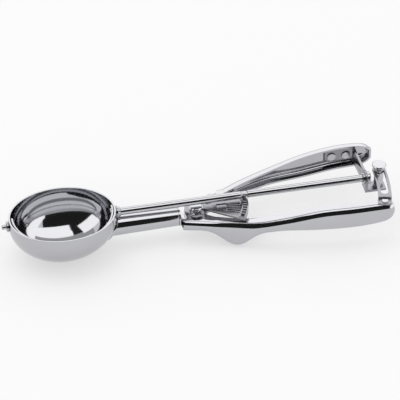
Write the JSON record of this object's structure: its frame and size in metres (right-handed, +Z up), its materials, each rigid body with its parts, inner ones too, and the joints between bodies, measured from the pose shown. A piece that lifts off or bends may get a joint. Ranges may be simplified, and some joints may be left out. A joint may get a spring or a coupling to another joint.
{
  "type": "lever ice cream scoop",
  "caption": "Squeeze-handle scoop: steel bowl, neck and two channel handles; the lever's toothed sector turns a wiper strip inside the bowl.",
  "frame": {"origin": "on the table under the lever's pivot: the middle of the scoop's length and width, level with the bowl's underside", "axes": "+X from the bowl to the handle ends, along the rod; +Y to the fixed handle; +Z up, out of the bowl's mouth"},
  "size_m": [0.2316, 0.0633, 0.0344],
  "materials": {
    "polished_steel": "polished stainless steel",
    "pressed_steel": "satin stainless steel",
    "blade_steel": "satin stainless steel strip",
    "spring_steel": "drawn spring wire",
    "bush_brass": "turned steel bush"
  },
  "bodies": {
    "root": {"bowl": "polished_steel", "front_bush": "bush_brass", "rear_bush": "bush_brass", "bowl_saddle": "polished_steel", "neck_tube": "polished_steel", "pivot_yoke": "polished_steel", "pivot_rivet": "polished_steel", "pivot_washers": "polished_steel", "fixed_handle": "polished_steel", "fixed_handle_rivets": "polished_steel", "return_spring": "spring_steel", "rear_bracket": "pressed_steel", "bracket_rivets": "polished_steel", "rod_bush": "bush_brass", "guide_post": "polished_steel", "post_nut": "polished_steel", "post_spring": "spring_steel"},
    "wiper": {"wiper_blade": "blade_steel", "front_journal": "polished_steel", "wiper_rod": "polished_steel", "rod_cap": "polished_steel"},
    "lever": {"lever_handle": "polished_steel", "sector_gear": "pressed_steel", "sector_rivets": "polished_steel", "guide_strip": "pressed_steel", "guide_rivet": "polished_steel"}
  },
  "joints": [
    {"name": "lever_squeeze", "type": "hinge", "parent": "root", "child": "lever", "pos_m": [0, 0, 0.025], "axis": [0, 0, 1], "range_deg": [0, 10.5], "stiffness_Nm_per_rad": 0.6, "springref_deg": -20.05, "deforming": ["return_spring"]},
    {"name": "wiper_turn", "type": "hinge", "parent": "root", "child": "wiper", "pos_m": [-0.08, 0, 0.025], "axis": [1, 0, 0], "range_deg": [0, 145.8]}
  ],
  "couplings": [
    {"joint": "wiper_turn", "follows": "lever_squeeze", "ratio": 13.833}
  ]
}
